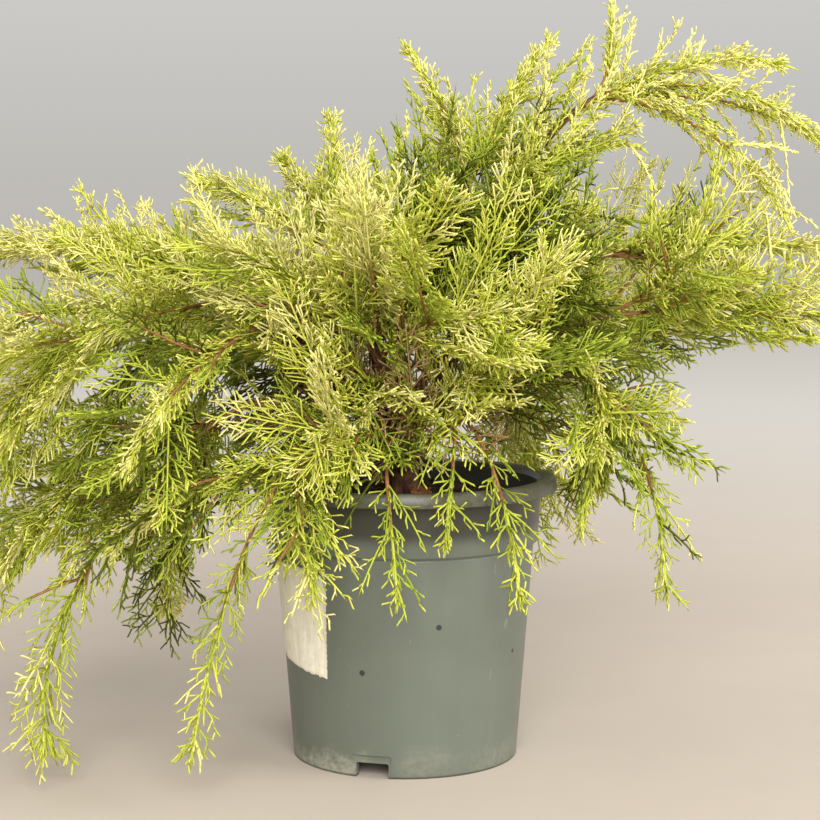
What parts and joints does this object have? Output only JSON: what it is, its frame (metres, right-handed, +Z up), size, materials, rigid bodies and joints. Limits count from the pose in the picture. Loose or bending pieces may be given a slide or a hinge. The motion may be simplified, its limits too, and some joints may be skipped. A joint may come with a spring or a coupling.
{
  "type": "potted gold coast juniper",
  "caption": "Low spreading golden juniper with arching boughs and weeping feathery sprays, growing in a round grey-green nursery pot.",
  "frame": {"origin": "centre of the pot's underside, on the surface that the pot stands on", "axes": "+Z up the pot's axis; +Y away from the picture's viewer; +X to that viewer's right, towards the crown's highest bough"},
  "size_m": [0.5822, 0.4234, 0.4761],
  "materials": {
    "pot_plastic": "matt grey-green moulded plastic, scuffed, with pale lime stains near the base",
    "medium": "dark crumbly potting compost",
    "label_paper": "off-white paper, wrinkled and torn, bare",
    "bark": "thin fibrous red-brown bark",
    "foliage": "scale-leaved sprays, lemon yellow at the tips, green inside"
  },
  "bodies": {
    "root": {"bough_back": "bark", "bough_back_left": "bark", "bough_back_right": "bark", "bough_centre_front": "bark", "bough_crest": "bark", "bough_front": "bark", "bough_front_left": "bark", "bough_front_right": "bark", "bough_left_front": "bark", "bough_left_high": "bark", "bough_left_low": "bark", "bough_left_mid": "bark", "bough_mid_top": "bark", "bough_right_high": "bark", "bough_right_low": "bark", "bough_right_mid": "bark", "bough_top": "bark", "foliage_back_left_low": "foliage", "foliage_back_left_out": "foliage", "foliage_back_out": "foliage", "foliage_back_right_low": "foliage", "foliage_back_right_out": "foliage", "foliage_back_up": "foliage", "foliage_centre_left": "foliage", "foliage_centre_mid": "foliage", "foliage_centre_right": "foliage", "foliage_centre_up": "foliage", "foliage_crest_arch": "foliage", "foliage_crest_high": "foliage", "foliage_crest_tuft": "foliage", "foliage_front_left_long": "foliage", "foliage_front_left_out": "foliage", "foliage_front_left_weep": "foliage", "foliage_front_mid_weep": "foliage", "foliage_front_middle": "foliage", "foliage_front_right_weep": "foliage", "foliage_front_weep": "foliage", "foliage_left_arch": "foliage", "foliage_left_front_arch": "foliage", "foliage_left_long": "foliage", "foliage_left_low": "foliage", "foliage_left_shade": "foliage", "foliage_left_top": "foliage", "foliage_left_top_back": "foliage", "foliage_mid_top_left": "foliage", "foliage_mid_top_up": "foliage", "foliage_right_front": "foliage", "foliage_right_front_up": "foliage", "foliage_right_low_out": "foliage", "foliage_right_out": "foliage", "foliage_right_shade": "foliage", "foliage_right_up": "foliage", "foliage_right_weep": "foliage", "foliage_top_back": "foliage", "foliage_top_left": "foliage", "foliage_top_right": "foliage", "growing_medium": "medium", "paper_label": "label_paper", "pot": "pot_plastic", "trunk": "bark"}
  },
  "joints": []
}
